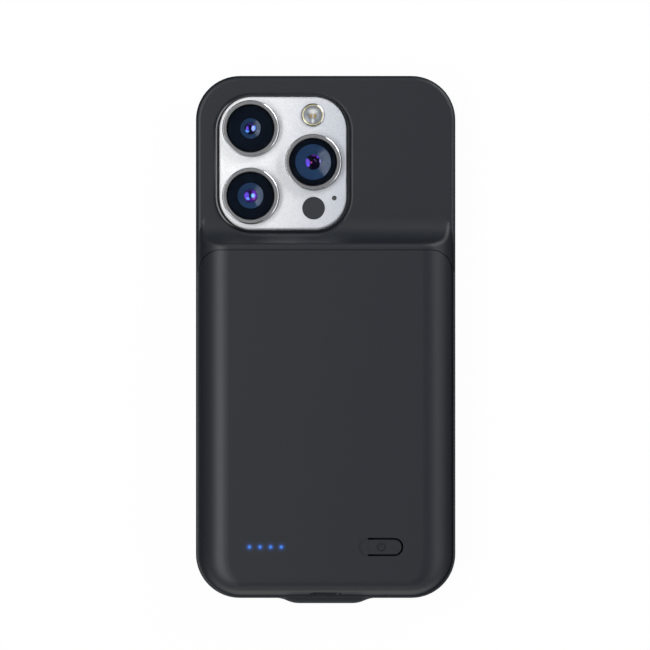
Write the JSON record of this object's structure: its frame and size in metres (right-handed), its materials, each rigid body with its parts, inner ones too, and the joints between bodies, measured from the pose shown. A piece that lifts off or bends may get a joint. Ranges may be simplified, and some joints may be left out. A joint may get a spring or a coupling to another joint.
{
  "type": "battery phone case with phone",
  "caption": "Slim battery case on a phone: soft sleeve with camera window, scooped step to a rounded battery lid with charge lights, U-cut press button and a charging port in the foot.",
  "frame": {"origin": "centre of the bounding box's underside, in the plane of the front rim on which the case lies screen down", "axes": "+Z out of the back towards the viewer of the picture, +Y to the phone's top, +X right as seen from the back"},
  "size_m": [0.0764, 0.1552, 0.0172],
  "materials": {
    "shell_plastic": "fine matte, soft touch",
    "lid_plastic": "fine matte",
    "light_strip": "clear, lit blue",
    "cell_foil": "satin foil",
    "tape": "adhesive film",
    "nickel": "plated strip",
    "circuit_board": "solder mask",
    "light_chip": "white package, lit blue",
    "chip_black": "moulded",
    "coil_grey": "ferrite",
    "port_steel": "drawn, satin",
    "contact_black": "moulded",
    "flex_film": "film",
    "phone_metal": "polished band",
    "screen_glass": "glossy black glass",
    "frosted_glass": "frosted silver glass",
    "lens_steel": "polished",
    "lens_cover": "coated crystal",
    "lens_black": "blackened",
    "lens_coated": "coated glass",
    "flash_white": "frosted",
    "flash_yellow": "phosphor",
    "window_black": "dark glass",
    "mesh_black": "fine mesh"
  },
  "bodies": {
    "case": {"case_frame": "shell_plastic", "back_cover": "lid_plastic", "light_guide": "light_strip", "battery_cell": "cell_foil", "cell_tape": "tape", "cell_tab_positive": "nickel", "cell_tab_negative": "nickel", "main_board": "circuit_board", "charge_chip": "chip_black", "boost_coil": "coil_grey", "tact_switch": "port_steel", "charge_port_shell": "port_steel", "charge_port_tongue": "contact_black", "phone_plug_shell": "port_steel", "phone_plug_core": "contact_black", "phone_plug_base": "contact_black", "plug_board": "circuit_board", "plug_flex": "flex_film", "phone_body": "phone_metal", "phone_screen": "screen_glass", "phone_back_glass": "frosted_glass", "flash_bezel": "lens_steel", "flash_lens": "flash_white", "flash_emitter": "flash_yellow", "depth_window": "window_black", "rear_microphone": "mesh_black", "charge_light_1": "light_chip", "charge_light_2": "light_chip", "charge_light_3": "light_chip", "charge_light_4": "light_chip", "lens_ring_1": "lens_steel", "lens_cover_1": "lens_cover", "lens_barrel_1": "lens_black", "lens_element_1": "lens_coated", "lens_ring_2": "lens_steel", "lens_cover_2": "lens_cover", "lens_barrel_2": "lens_black", "lens_element_2": "lens_coated", "lens_ring_3": "lens_steel", "lens_cover_3": "lens_cover", "lens_barrel_3": "lens_black", "lens_element_3": "lens_coated"},
    "button": {"power_button": "lid_plastic", "switch_stem": "contact_black"},
    "ring_switch": {"ring_switch": "phone_metal"},
    "volume_up": {"volume_up_key": "phone_metal"},
    "volume_down": {"volume_down_key": "phone_metal"},
    "side_key": {"side_key": "phone_metal"}
  },
  "joints": [
    {"name": "button_press", "type": "hinge", "parent": "case", "child": "button", "pos_m": [0.01245, -0.06089, 0.0158], "axis": [0, 1, 0], "range_deg": [0, 3], "stiffness_Nm_per_rad": 0.15},
    {"name": "ring_switch_throw", "type": "slide", "parent": "case", "child": "ring_switch", "axis": [0, 0, 1], "range_m": [0, 0.0012]},
    {"name": "volume_up_press", "type": "slide", "parent": "case", "child": "volume_up", "axis": [-1, 0, 0], "range_m": [0, 0.00025], "stiffness_N_per_m": 1500},
    {"name": "volume_down_press", "type": "slide", "parent": "case", "child": "volume_down", "axis": [-1, 0, 0], "range_m": [0, 0.00025], "stiffness_N_per_m": 1500},
    {"name": "side_key_press", "type": "slide", "parent": "case", "child": "side_key", "axis": [1, 0, 0], "range_m": [0, 0.00025], "stiffness_N_per_m": 1500}
  ]
}
